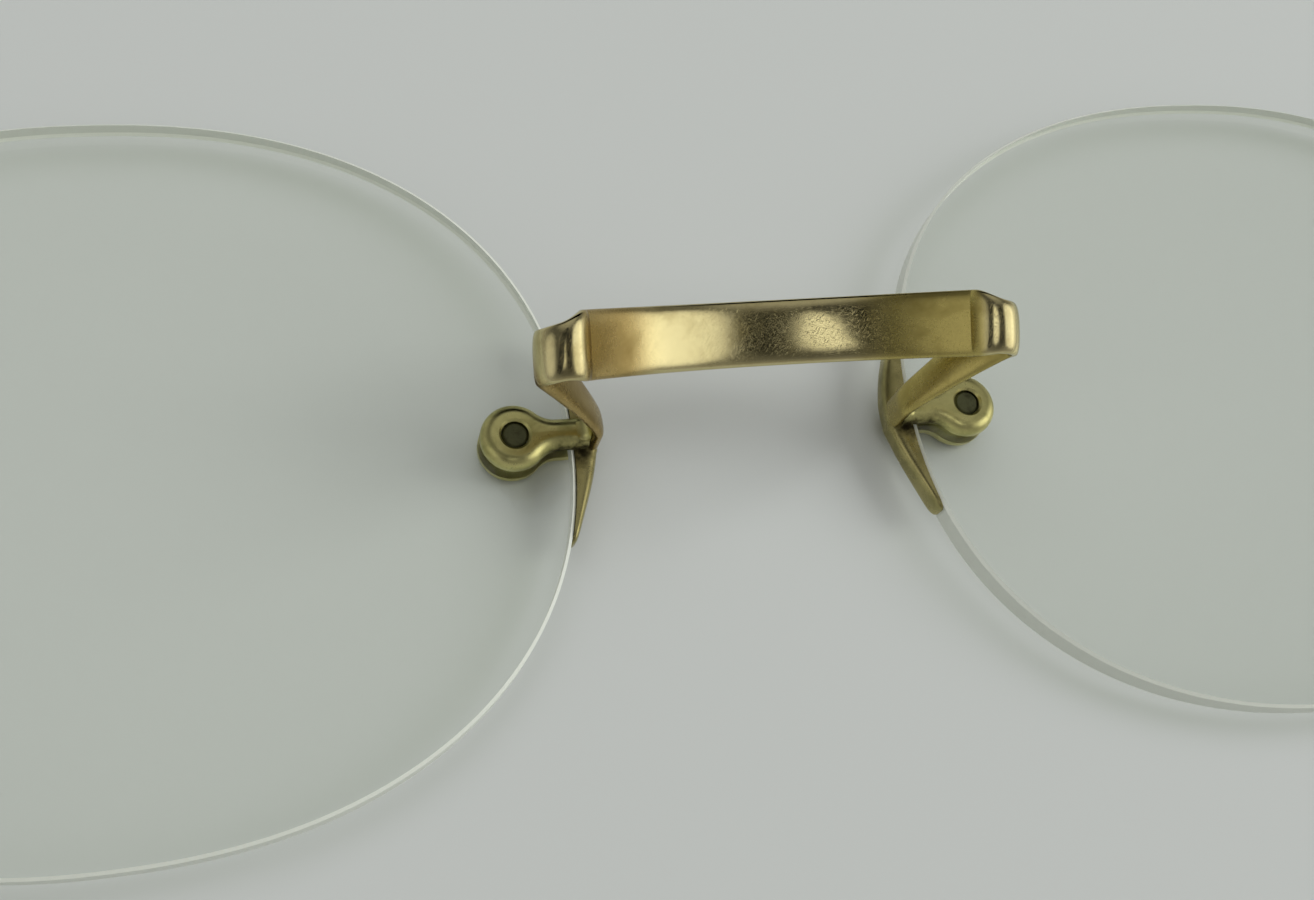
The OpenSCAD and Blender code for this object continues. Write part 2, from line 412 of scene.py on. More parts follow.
class MaterialNodes(Nodes):
    """The nodes of one material."""

    def __init__(self, name: str) -> None:
        """Starts an empty material.

        Args:
            name: the material's name.
        """
        self.material = bpy.data.materials.new(name)
        self.material.use_nodes = True
        super().__init__(self.material.node_tree)

    def place(self) -> Socket:
        """The place on the object, in millimetres."""
        where = self.add("TexCoord").outputs["Object"]
        return self.add("VectorMath", {0: where, "Scale": 1 / MM}, operation="SCALE").outputs["Vector"]

    def group(self, tree: bpy.types.NodeTree, where: Socket, **inputs: float) -> bpy.types.NodeOutputs:
        """Places a shared effect with its own values.

        Args:
            tree: the effect's group.
            where: the place on the object.
            **inputs: its values by name, with _ for a space.

        Returns:
            What the effect gives, by name.
        """
        values = {key.replace("_", " "): value for key, value in inputs.items()}
        return self.add("Group", {"Vector": where} | values, node_tree=tree).outputs

    def mix(self, share: Socket, first: Socket | Triple, last: Triple, kind: str = "MIX") -> Socket:
        """Puts one colour over another.

        Args:
            share: how much of the last colour shows.
            first: the colour below.
            last: the colour above.
            kind: how they are put together.

        Returns:
            The colour.
        """
        below = first if isinstance(first, Socket) else (*first, 1)
        inputs = {0: share, 6: below, 7: (*last, 1)}
        return self.add("Mix", inputs, data_type="RGBA", blend_type=kind).outputs[2]

    def bump(self, height: Socket, strength: float, distance: float) -> Socket:
        """Turns a height into a normal, its distance in metres."""
        inputs = {"Height": height, "Strength": strength, "Distance": distance}
        return self.add("Bump", inputs).outputs["Normal"]

    def surface(self, shader: Socket) -> bpy.types.Material:
        """Gives the material its shader and returns it."""
        self.add("OutputMaterial", {"Surface": shader})
        return self.material

    def matt(self, colour: Triple, roughness: float, gloss: float = 0.5) -> bpy.types.Material:
        """Closes the material as one dull colour, for the studio.

        Args:
            colour: the colour, linear.
            roughness: how dull it is.
            gloss: the level of its shine.

        Returns:
            The material.
        """
        inputs = {"Base Color": (*colour, 1), "Roughness": roughness, "Specular IOR Level": gloss}
        return self.surface(self.add("BsdfPrincipled", inputs).outputs["BSDF"])

    def metal(self, colour: Socket, roughness: Socket, height: Socket, strength: float) -> bpy.types.Material:
        """Closes the material as bare metal.

        Args:
            colour: its colour.
            roughness: how dull it is.
            height: the height of its marks.
            strength: how strongly they show.

        Returns:
            The material.
        """
        normal = self.bump(height, strength, SCRATCH_DEPTH)
        inputs = {"Metallic": 1.0, "Base Color": colour, "Roughness": roughness, "Normal": normal}
        return self.surface(self.add("BsdfPrincipled", inputs).outputs["BSDF"])


class SharedEffects:
    """Effects that several finishes share. All of them work in millimetres of the object."""

    def __init__(self) -> None:
        """Builds each effect once."""
        self.scratches = self._scratches()
        self.tarnish = self._tarnish()
        self.dirt_and_crevice_shade = self._dirt_and_crevice_shade()

    @staticmethod
    def _scratches() -> bpy.types.NodeTree:
        """Fine hand scratches in three directions.

        Returns:
            The group.
        """
        n = GroupNodes("hand_scratches", {"Scale": 6.0, "Amount": 0.5}, ("Height", "Mask"))
        layers = []
        for turn, stretch in ((0.35, 14.0), (-0.9, 9.0), (1.5, 20.0)):
            inputs = {"Vector": n.given("Vector"), "Rotation": (0.3 * turn, 0.2, turn)}
            spun = n.add("VectorRotate", inputs, rotation_type="EULER_XYZ").outputs["Vector"]
            inputs = {0: spun, 1: (1.0, stretch, stretch * 0.5)}
            pulled = n.add("VectorMath", inputs, operation="MULTIPLY").outputs["Vector"]
            lines = n.noise(pulled, n.given("Scale"), detail=2.0, roughness=0.6)
            layers.append(n.ramp(lines, low=0.62, high=0.70))
        total = layers[0]
        for layer in layers[1:]:
            total = n.sums("MAXIMUM", total, layer)
        depth = n.sums("MULTIPLY", total, n.given("Amount"))
        return n.close(Height=n.sums("MULTIPLY", depth, -1.0), Mask=depth)

    @staticmethod
    def _tarnish() -> bpy.types.NodeTree:
        """Cloudy patches of darker skin with fine mottling.

        Returns:
            The group.
        """
        n = GroupNodes("tarnish", {"Scale": 0.6, "Cover": 0.5}, ("Mask", "Mottle"))
        where, scale = n.given("Vector"), n.given("Scale")
        fine_scale = n.sums("MULTIPLY", scale, 11.0)
        broad = n.noise(where, scale, detail=5.0, roughness=0.62, distortion=0.4)
        fine = n.noise(where, fine_scale, detail=3.0, roughness=0.7)
        bare_to = n.sums("SUBTRACT", 0.78, n.given("Cover"))
        return n.close(Mask=n.ramp(broad, low=bare_to, high=0.85, smooth=True), Mottle=fine)

    @staticmethod
    def _dirt_and_crevice_shade() -> bpy.types.NodeTree:
        """Darkens round a crevice with dirt and painted shade, the same on both sides of the object.

        Returns:
            The group.
        """
        places = {f"Place {axis}": 0.0 for axis in "XYZ"}
        n = GroupNodes("crevice_dirt_and_shade", places | {"Radius": 1.0}, ("Mask",))
        where = n.given("Vector")
        split = n.add("SeparateXYZ", {0: where}).outputs
        axes = {"X": n.sums("ABSOLUTE", split["X"]), "Y": split["Y"], "Z": split["Z"]}
        folded = n.add("CombineXYZ", axes).outputs["Vector"]
        place = n.add("CombineXYZ", {axis: n.given(f"Place {axis}") for axis in "XYZ"}).outputs["Vector"]
        far = n.add("VectorMath", {0: folded, 1: place}, operation="DISTANCE").outputs["Value"]
        ragged = n.sums("MULTIPLY_ADD", n.noise(where, scale=4.0, detail=4.0), 0.9, -0.45)
        reach = n.sums("ADD", far, ragged)
        return n.close(Mask=n.ramp(reach, high=n.given("Radius"), ends=(1.0, 0.0), smooth=True))


@dataclass(frozen=True)
class DirtAndShadeSpot:
    """A crevice darkened with dirt and painted shade, in millimetres on the right-hand side."""

    x: float
    y: float
    z: float
    radius: float


@dataclass(frozen=True)
class GoldFinish:
    """Worn ten-carat gold.

    Attributes:
        name: the material's name.
        base: clean colour, linear.
        skin: colour of the tarnished patches, linear.
        roughness: of the clean metal.
        skin_roughness: of the patches.
        cover: share of the surface that the patches take.
        scratch: depth of the hand scratches.
        spots: crevices darkened with dirt and painted shade.
        polished_to: half-length of the polished middle along X, 0 for none.
        polished_middle: X of that middle.
        patch_scale: size of the patches, in patches for each millimetre.
        shaded_satin_left: tint of the satin metal at the left, warmer and darker, with painted shade.
        lit_satin_right: tint of the satin metal at the right, greener and lighter, with painted light.
        dirt_and_shade: colour of the dirt and painted shade in the crevices, linear.
        dirt_roughness: of the dirt.
        mottle_rough: least and most that the mottling adds to the roughness.
        mottle_height: height of the mottling against that of the scratches.
        scratch_scale: fineness of the scratches.
    """

    name: str
    base: Triple
    skin: Triple
    roughness: float
    skin_roughness: float
    cover: float
    scratch: float
    spots: tuple[DirtAndShadeSpot, ...] = ()
    polished_to: float = 0.0
    polished_middle: float = 0.0
    patch_scale: float = 0.5
    shaded_satin_left: Triple = (0.66, 0.56, 0.41)
    lit_satin_right: Triple = (0.75, 0.71, 0.445)
    dirt_and_shade: Triple = (0.035, 0.028, 0.013)
    dirt_roughness: float = 0.75
    mottle_rough: tuple[float, float] = (-0.05, 0.07)
    mottle_height: float = 0.35
    scratch_scale: float = 3.2

    def build(self, effects: SharedEffects) -> bpy.types.Material:
        """Builds the material.

        Args:
            effects: the shared effects.

        Returns:
            The material.
        """
        n = MaterialNodes(self.name)
        where = n.place()
        tarnish = n.group(effects.tarnish, where, Scale=self.patch_scale, Cover=self.cover)
        scratches = n.group(effects.scratches, where, Scale=self.scratch_scale, Amount=1.0)
        colour = n.mix(tarnish["Mask"], self.base, self.skin)
        rough = n.ramp(tarnish["Mask"], ends=(self.roughness, self.skin_roughness))
        if self.polished_to:
            colour, rough = self._zones(n, where, colour, rough)
        rough = n.sums("ADD", rough, n.ramp(tarnish["Mottle"], ends=self.mottle_rough), clamp=True)
        # Each spot darkens its crevice with dirt and painted shade.
        for spot in self.spots:
            dirt_and_shade = n.group(effects.dirt_and_crevice_shade, where, Place_X=spot.x, Place_Y=spot.y, Place_Z=spot.z,
                           Radius=spot.radius)["Mask"]
            colour = n.mix(dirt_and_shade, colour, self.dirt_and_shade)
            rough = n.add("Mix", {0: dirt_and_shade, 2: rough, 3: self.dirt_roughness}, data_type="FLOAT").outputs[0]
        height = n.sums("MULTIPLY_ADD", tarnish["Mottle"], self.mottle_height, scratches["Height"])
        return n.metal(colour, rough, height, self.scratch)

    def _zones(self, n: MaterialNodes, where: Socket, colour: Socket, rough: Socket) -> tuple[Socket, Socket]:
        """Dulls the crest's ends and the shanks, darker at the left end as painted shade and lighter at the
        right as painted light, and smooths the loops and the crest's rubbed middle.

        Args:
            n: the material's nodes.
            where: the place on the object.
            colour: the colour so far.
            rough: the roughness so far.

        Returns:
            The colour and the roughness of the whole strip.
        """
        split = n.add("SeparateXYZ", {0: where}).outputs
        side = n.ramp(n.sums("ABSOLUTE", split["X"]), low=8.05, high=8.4, smooth=True)
        loops = n.sums("MULTIPLY", side, n.ramp(split["Z"], low=8.3, high=8.8, smooth=True))
        end = self.polished_to
        far = n.sums("ABSOLUTE", n.sums("SUBTRACT", split["X"], self.polished_middle))
        ends = n.sums("SUBTRACT", n.ramp(far, low=end - 1.2, high=end + 1.0, smooth=True), loops)
        right = n.sums("MULTIPLY", ends, n.ramp(split["X"], low=-1.0, high=1.0, smooth=True))
        left = n.sums("SUBTRACT", ends, right)
        rubbed = n.ramp(n.sums("MULTIPLY", far, -1.0), low=-end - 0.5, high=0.5 - end, smooth=True)
        # Satin tints: the left end's is darker as painted shade, the right end's lighter and greener as
        # painted light.
        for zone, tint in ((left, self.shaded_satin_left), (right, self.lit_satin_right)):
            colour = n.mix(zone, colour, tint, "MULTIPLY")
        for zone, share in ((rubbed, 0.52), (loops, 0.42)):
            rough = n.sums("MULTIPLY", rough, n.ramp(zone, ends=(1.0, share)))
        return colour, rough


@dataclass(frozen=True)
class GlassFinish:
    """Clear lens glass, or the frosted ground edge of it.

    Attributes:
        name: the material's name.
        tint: colour of the light that passes, linear.
        shade: share of the lamps' light that each surface lets through, linear.
        roughness: 0 is polished.
        clearness: share of the light that passes and isn't scattered back.
        marks: size of the clouds in its roughness, in clouds for each millimetre.
        marks_from: where in the clouds it starts to be rougher.
        marks_to: where it is roughest.
        marks_gain: how much rougher it is there.
        grinding: how strongly the marks of grinding show, 0 for none.
        bending: how strongly the glass bends light.
    """

    name: str
    tint: Triple
    shade: Triple
    roughness: float
    clearness: float
    marks: float
    marks_from: float
    marks_to: float
    marks_gain: float
    grinding: float = 0.0
    bending: float = 1.52

    def build(self) -> bpy.types.Material:
        """Builds the material. Lamps shine through it, so the cloth below stays bright.

        Returns:
            The material.
        """
        n = MaterialNodes(self.name)
        clouds = n.noise(n.place(), self.marks, detail=4.0)
        ends = (self.roughness, self.roughness + self.marks_gain)
        rough = n.ramp(clouds, self.marks_from, self.marks_to, ends)
        inputs = {"Base Color": (*self.tint, 1), "Transmission Weight": self.clearness,
                  "IOR": self.bending, "Roughness": rough}
        if self.grinding:
            inputs["Normal"] = n.bump(clouds, self.grinding, GRIND_DEPTH)
        through = n.add("BsdfPrincipled", inputs).outputs["BSDF"]
        clear = n.add("BsdfTransparent", {"Color": (*self.shade, 1)}).outputs["BSDF"]
        light = n.add("LightPath").outputs
        for ray in ("Is Diffuse Ray", "Is Shadow Ray"):
            through = n.add("MixShader", {0: light[ray], 1: through, 2: clear}).outputs["Shader"]
        return n.surface(through)


@dataclass(frozen=True)
class SteelFinish:
    """Dull grey steel of the lens screws, with darker stained patches."""

    name: str = "screw_steel"
    base: Triple = (0.165, 0.17, 0.09)
    stain: Triple = (0.03, 0.028, 0.018)
    roughness: tuple[float, float] = (0.38, 0.62)
    scratch: float = 0.5

    def build(self, effects: SharedEffects) -> bpy.types.Material:
        """Builds the material.

        Args:
            effects: the shared effects.

        Returns:
            The material.
        """
        n = MaterialNodes(self.name)
        where = n.place()
        tarnish = n.group(effects.tarnish, where, Scale=1.6, Cover=0.36)
        scratches = n.group(effects.scratches, where, Scale=7.0, Amount=1.0)
        colour = n.mix(tarnish["Mask"], self.base, self.stain)
        rough = n.ramp(tarnish["Mottle"], ends=self.roughness)
        return n.metal(colour, rough, scratches["Height"], self.scratch)


@dataclass
class SaddleBridge:
    """One gold strip: crest, creases, loops, shanks and feet."""

    crest_lean: float = 25.5
    crest_w: float = 2.72
    crest_t: float = 0.6
    crest_r: float = 11.5
    crest_span: float = 16.1
    crest_rise: float = 2.35
    crest_offset: float = 3.7
    crease_r: float = 0.32
    crease_sweep: float = 28.0
    loop_r: float = 0.88
    loop_sweep: float = 171.0
    loop_w: float = 2.26
    shank_w: float = 2.16
    loop_drop: float = 0.4
    foot_w: float = 1.3
    foot_drop: float = 0.24
    foot_rise: float = 1.2
    shank_pull: float = 0.35
    foot_pull: float = 0.45
    crest_roundness: float = 2.9
    flat_roundness: float = 4.2
    loop_roundness: float = 2.6
    round_to: float = 4.4
    round_fade: float = 1.6
    narrowing: float = 86.0
    sides: int = 64
    crest_rings: int = 80
    crease_rings: int = 14
    loop_rings: int = 72
    shank_rings: int = 48
    foot_rings: int = 8

    def lean(self, p: Array, aside: float = 0.0) -> Array:
        """Lays a place of the strip's leaning plane on the object.

        Args:
            p: the place in that plane, as X and depth.
            aside: how far it lies off the plane.

        Returns:
            The place on the object.
        """
        c, s = math.cos(math.radians(self.crest_lean)), math.sin(math.radians(self.crest_lean))
        off = self.crest_offset + aside
        return np.array([p[0], off * c - p[1] * s, SIZES.back_z + off * s + p[1] * c])

    def heading(self, degrees: float) -> Array:
        """Direction on the object of a heading in the leaning plane."""
        h, a = math.radians(degrees), math.radians(self.crest_lean)
        return np.array([math.cos(h), -math.sin(h) * math.sin(a), math.sin(h) * math.cos(a)])

    @property
    def across(self) -> Array:
        """Direction across the strip."""
        a = math.radians(self.crest_lean)
        return np.array([0, math.cos(a), math.sin(a)])

    @staticmethod
    def on_arc(start: Array, heading: float, r: float, turn: float) -> Array:
        """Follows an arc in the leaning plane.

        Args:
            start: where it starts.
            heading: its direction there, in degrees.
            r: its radius.
            turn: how far it turns, positive to the left.

        Returns:
            The place at its end.
        """
        s = math.copysign(1.0, turn)
        h0, h1 = math.radians(heading), math.radians(heading + turn)
        return start + s * r * np.array([math.sin(h1) - math.sin(h0), math.cos(h0) - math.cos(h1)])

    def ring(self, middle: Array, along: Array, across: Array, w: float, t: float, roundness: float) -> Array:
        """One ring of the swept strip.

        Args:
            middle: its middle.
            along: the strip's direction there, square to the ring.
            across: roughly the direction of its width.
            w: the strip's width.
            t: its thickness.
            roundness: squareness of its section.

        Returns:
            The ring's points.
        """
        forward = unit(along)
        side = unit(across - (across @ forward) * forward)
        up = np.cross(side, forward)
        flat = rounded_section(w, t, roundness, self.sides)
        return middle + flat[:, :1] * side + flat[:, 1:] * up

    def half(self) -> list[Array]:
        """Sweeps half of the strip.

        Returns:
            Rings from the crest's middle to the right foot's end.
        """
        t = SIZES.loop_t
        sweep = math.degrees(math.asin(self.crest_span / 2 / self.crest_r))
        middle = np.array([0.0, self.crest_rise])
        crest_end = self.on_arc(middle, 0, self.crest_r, sweep)
        crease_end = self.on_arc(crest_end, sweep, self.crease_r, self.crease_sweep)
        start = sweep + self.crease_sweep
        loop_end = self.on_arc(crease_end, start, self.loop_r, -self.loop_sweep)
        rings = []
        for u in shares(self.crest_rings, 0):
            a = sweep * u
            past_round = (self.crest_r * math.sin(math.radians(a)) - self.round_to) / self.round_fade
            place = self.lean(self.on_arc(middle, 0, self.crest_r, a))
            roundness = blend(past_round, self.crest_roundness, self.flat_roundness)
            rings.append(self.ring(place, self.heading(a), self.across, self.crest_w,
                                   blend(u, self.crest_t, t), roundness))
        for u in shares(self.crease_rings):
            a = self.crease_sweep * u
            place = self.lean(self.on_arc(crest_end, sweep, self.crease_r, a))
            rings.append(self.ring(place, self.heading(sweep + a), self.across, self.crest_w, t,
                                   self.flat_roundness))
        for u in shares(self.loop_rings):
            a = self.loop_sweep * u
            place = self.lean(self.on_arc(crease_end, start, self.loop_r, -a), blend(u, 0, -self.loop_drop))
            width = blend(a / self.narrowing, self.crest_w, blend(u, self.loop_w, self.shank_w))
            roundness = blend(a / self.narrowing, self.flat_roundness, self.loop_roundness)
            rings.append(self.ring(place, self.heading(start - a), self.across, width, t, roundness))
        top = self.lean(loop_end, -self.loop_drop)
        return rings + self.shank(top, self.heading(start - self.loop_sweep))

    def shank(self, top: Array, way: Array) -> list[Array]:
        """Sweeps a shank, which twists upright, and its foot.

        Args:
            top: the loop's end.
            way: the strip's direction there.

        Returns:
            Rings down to the foot's end.
        """
        t = SIZES.loop_t
        down, upright = np.array([0, 0, -1.0]), np.array([0, 1.0, 0])
        foot_top = np.array([SIZES.foot_x, -self.foot_drop, SIZES.back_z + self.foot_rise])
        span = float(np.linalg.norm(top - foot_top))
        d0 = way * span * self.shank_pull
        d1 = down * span * self.foot_pull
        rings = []
        for u in shares(self.shank_rings):
            p = (top * (2 * u ** 3 - 3 * u ** 2 + 1) + d0 * (u ** 3 - 2 * u ** 2 + u)
                 + foot_top * (3 * u ** 2 - 2 * u ** 3) + d1 * (u ** 3 - u ** 2))
            d = (top * (6 * u ** 2 - 6 * u) + d0 * (3 * u ** 2 - 4 * u + 1)
                 + foot_top * (6 * u - 6 * u ** 2) + d1 * (3 * u ** 2 - 2 * u))
            across = self.across * (1 - ease(u)) + upright * ease(u)
            rings.append(self.ring(p, d, across, blend(u, self.shank_w, self.foot_w), t, self.loop_roundness))
        foot_end = np.array([SIZES.foot_x, -self.foot_drop, SIZES.back_z])
        for u in shares(self.foot_rings):
            rings.append(self.ring(foot_top + (foot_end - foot_top) * u, down, upright, self.foot_w, t,
                                   self.loop_roundness))
        return rings

    def build(self, gold: bpy.types.Material) -> bpy.types.Object:
        """Builds the whole strip.

        Args:
            gold: its finish.

        Returns:
            The piece.
        """
        right = self.half()
        left = [ring * np.array([-1, 1, 1]) for ring in right[:0:-1]]
        sheet = Sheet()
        sheet.add_rings(left + right, capped=True)
        piece = sheet.make("bridge_strip", None, [gold])
        settle(piece, "saddle_bridge")
        return piece


@dataclass
class Lens:
    """One drilled oval lens with ground and chamfered edges."""

    side: Side
    hole_d: float = 1.45
    chamfer: float = 0.13
    hole_chamfer: float = 0.1
    around: int = 420
    rows: int = 22
    evenness: float = 0.65

    def outline(self, inset: float) -> Array:
        """Outline of the lens, drawn in by an inset and evenly spaced, from the point by the nose."""
        w, h = SIZES.lens_w - 2 * inset, SIZES.lens_h - 2 * inset
        return np.array([SIZES.lens_x, 0.0]) - rounded_section(w, h, SIZES.lens_fullness, self.around)

    @staticmethod
    def front(p: Array) -> Array:
        """Z of the convex front at places in the lens's plane."""
        return SIZES.vertex_z + SIZES.front_sag(np.hypot(p[:, 0] - SIZES.lens_x, p[:, 1]))

    def build(self, clear: bpy.types.Material, ground: bpy.types.Material) -> bpy.types.Object:
        """Builds the lens.

        Args:
            clear: finish of the faces.
            ground: finish of the edge and of the hole.

        Returns:
            The piece.
        """
        hole = np.array([SIZES.hole_x, -SIZES.hole_drop])
        edge, inner = self.outline(0.0), self.outline(self.chamfer)
        even = math.pi + np.linspace(0, 2 * math.pi, self.around, endpoint=False)
        ray = np.unwrap(np.arctan2(inner[:, 1] - hole[1], inner[:, 0] - hole[0]))
        ray += 2 * math.pi * round((even[0] - ray[0]) / (2 * math.pi))
        angle = 0.5 * even + 0.5 * ray
        turn = np.stack([np.cos(angle), np.sin(angle)], 1)
        rim = hole + turn * (self.hole_d / 2 + self.hole_chamfer)
        wall = hole + turn * self.hole_d / 2
        face = [rim + (inner - rim) * (ease(u) * (1 - self.evenness) + self.evenness * u)
                for u in shares(self.rows, 0)]
        flat = [at_height(p, SIZES.back_z) for p in face]
        convex = [at_height(p, self.front(p)) for p in face]
        sheet = Sheet()
        sheet.add_rings(flat)
        sheet.add_rings([flat[-1], at_height(edge, SIZES.back_z - self.chamfer),
                         at_height(edge, self.front(edge) + self.chamfer), convex[-1]], slot=1)
        sheet.add_rings(convex[::-1])
        sheet.add_rings([convex[0], at_height(wall, self.front(wall) + self.hole_chamfer),
                         at_height(wall, SIZES.back_z - self.hole_chamfer), flat[0]], slot=1)
        piece = sheet.make(f"{self.side.word}_oval_lens", self.side, [clear, ground])
        weld(piece)
        settle(piece, f"{self.side.word}_lens")
        return piece


@dataclass
class Shoe:
    """Half-round arms on the edge of the glass and the block that carries the bridge."""

    side: Side
    reach: float = 4.8
    tip_t: float = 0.26
    blunt: float = 20.0
    tip_width: float = 0.35
    arm_squareness: float = 3.4
    block_squareness: float = 4.2
    block_w: float = 1.9
    block_soft: float = 0.1
    block_edge: int = 6
    block_drop: float = 0.24
    last_ring: float = 0.998
    steps: int = 150
    sides: int = 40

    def ring(self, u: float) -> Array:
        """One section of the shoe.

        Args:
            u: its place, from the low tip at -1 to the high one at 1.

        Returns:
            The section's points.
        """
        y = self.reach * u
        step = 0.01
        slope = (SIZES.edge_x(abs(y) + step) - SIZES.edge_x(abs(y))) / step * math.copysign(1, u)
        out = unit(np.array([-1.0, slope]))
        blunt = math.sqrt(max(0.0, 1 - abs(u) ** self.blunt))
        block = math.exp(-((y + self.block_drop) / (self.block_w / 2 + self.block_soft)) ** self.block_edge)
        arm = blend(abs(u), SIZES.shoe_root_t, self.tip_t) * blunt
        rise = max(arm, SIZES.shoe_root_t * block)
        width = SIZES.lens_edge_t * (self.tip_width + (1 - self.tip_width) * blunt)
        squareness = self.arm_squareness + (self.block_squareness - self.arm_squareness) * block
        base = np.array([SIZES.edge_x(y), y]) + out * SIZES.shoe_gap
        oval = rounded_section(width, 2 * rise, squareness, 2 * self.sides)[: self.sides + 1]
        oval[0, 1] = oval[-1, 1] = 0.0
        z = SIZES.edge_front_z + SIZES.lens_edge_t / 2
        return at_height(base + out * oval[:, 1:], z - oval[:, 0])

    def build(self, gold: bpy.types.Material) -> bpy.types.Object:
        """Builds the shoe.

        Args:
            gold: its finish.

        Returns:
            The piece.
        """
        sheet = Sheet()
        sheet.add_rings([self.ring((2 * u - 1) * self.last_ring) for u in shares(self.steps, 0)], capped=True)
        piece = sheet.make(f"{self.side.word}_edge_shoe", self.side, [gold])
        settle(piece, f"{self.side.word}_shoe")
        return piece


class StrapPlace(Enum):
    """Whether a strap lies behind or in front of the glass."""

    REAR = "rear"
    FRONT = "front"


@dataclass
class Strap:
    """A round-ended tongue over the glass, pillowed, with a chamfered hole."""

    side: Side
    place: StrapPlace
    end_r: float = 1.42
    neck_w: float = 1.3
    hollow_r: float = 1.2
    round_r: float = 0.52
    bore_r: float = 0.58
    lip: float = 0.1
    head_r: float = 0.98
    head_wall: float = 0.13
    braze_r: float = 0.5
    braze_inset: float = 0.12
    braze_flat: float = 0.25
    braze_sink: float = 0.05
    braze_fullness: int = 5
    crown: float = 0.05
    front_inset: float = 0.62
    least: float = 0.02
    directions: int = 2401
    around: int = 240
    rows: int = 26
    crowding: float = 1.8
    foot_rows: int = 6
    braze_rings: int = 32
    braze_sides: int = 12

    @property
    def root(self) -> float:
        """Length from the hole's axis to the strap's root."""
        inset = self.front_inset if self.place is StrapPlace.FRONT else SIZES.loop_t
        return SIZES.hole_x - SIZES.block_x - inset

    def outline(self) -> Array:
        """Outline of the tongue round the hole.

        Returns:
            Its points by angle, with the root at -X.
        """
        hy = self.neck_w / 2 + self.hollow_r
        hx = math.sqrt((self.end_r + self.hollow_r) ** 2 - hy ** 2)
        points = []
        for a in np.linspace(-math.pi, math.pi, self.directions):
            c, s = math.cos(a), math.sin(a)
            on_end = c > -hx / (self.end_r + self.hollow_r)
            r = self.end_r if on_end else self._hollow(c, abs(s), hx, hy)
            points.append((r * c, r * s))
        return evenly(np.array(points), self.around)

    def _hollow(self, c: float, s: float, hx: float, hy: float) -> float:
        """Distance of the outline from the hole in a direction towards the neck.

        Args:
            c: the direction's share along X.
            s: its share along Y, without its sign.
            hx: how far the hollow's centre lies towards the root.
            hy: how far it lies to the side.

        Returns:
            The distance.
        """
        along = -c * hx + s * hy
        gap = along ** 2 - (hx ** 2 + hy ** 2 - self.hollow_r ** 2)
        if gap > 0:
            r = along - math.sqrt(gap)
            if -r * c < hx and r > 0:
                return r
        side = self.neck_w / 2 / s if s > 1e-6 else 1e9
        return min(side, self.root / -c)

    def build(self, gold: bpy.types.Material) -> bpy.types.Object:
        """Builds the strap.

        Args:
            gold: its finish.

        Returns:
            The piece.
        """
        rear = self.place is StrapPlace.REAR
        thick = SIZES.strap_t if rear else SIZES.edge_front_z
        rim = self.outline()
        angle = np.arctan2(rim[:, 1], rim[:, 0])
        turn = np.stack([np.cos(angle), np.sin(angle)], 1)
        bore, head = turn * self.bore_r, turn * self.head_r
        mouth = turn * (self.bore_r + self.lip if rear else self.head_r + self.least)
        rounded = rim[rim[:, 0] > -self.root + self.least] if rear else rim

        def height(p: Array) -> Array:
            """Finds the height of the pillowed face from the distance to its rounded edge.

            Args:
                p: places round the hole.

            Returns:
                Their heights over the strap's foot.
            """
            far = np.sqrt(((p[:, None, :] - rounded[None]) ** 2).sum(2)).min(1)
            drop = self.round_r * (1 - np.sqrt(1 - (1 - np.clip(far / self.round_r, 0, 1)) ** 2))
            crown = self.crown * (1 - np.clip(far / self.end_r, 0, 1)) ** 2
            return np.maximum(thick - drop - crown * (thick - drop) / thick, self.least)

        rows = [mouth + (rim - mouth) * (1 - (1 - u) ** self.crowding) for u in shares(self.rows, 0)]
        top = [at_height(p, height(p)) for p in rows]
        foot = [at_height(bore + (rim - bore) * u, 0.0) for u in shares(self.foot_rows, 0)]
        if rear:
            hole = [(bore, 0.0), (bore, thick - self.lip - self.least)]
        else:
            cone_z = thick - self.head_wall - (self.head_r - self.bore_r)
            hole = [(bore, 0.0), (bore, cone_z), (head, thick - self.head_wall), (head, thick - self.least)]
        inside = [at_height(p, z) for p, z in hole] + [top[0]]
        sheet = Sheet()
        for rings in (top, [top[-1], foot[-1]], foot[::-1], inside):
            sheet.add_rings([self._stand(ring) for ring in rings])
        if rear:
            self._braze(sheet)
        piece = sheet.make(f"{self.side.word}_{self.place.value}_tongue", self.side, [gold])
        weld(piece)
        settle(piece, f"{self.side.word}_{self.place.value}_strap")
        return piece

    def _stand(self, ring: Array) -> Array:
        """Puts a ring of the strap on the glass.

        Args:
            ring: its points round the hole, with their heights over the strap's foot.

        Returns:
            The points behind the glass or in front of it.
        """
        x, y = ring[:, 0] + SIZES.hole_x, ring[:, 1] - SIZES.hole_drop
        if self.place is StrapPlace.REAR:
            return np.column_stack([x, y, SIZES.back_z + ring[:, 2]])
        far = np.minimum(np.hypot(x - SIZES.lens_x, y), SIZES.half_w)
        seat = SIZES.vertex_z + SIZES.front_sag(far)
        share = 1 - ring[:, 2] / SIZES.edge_front_z
        return np.column_stack([x, y, np.minimum(seat, SIZES.edge_front_z) * share])

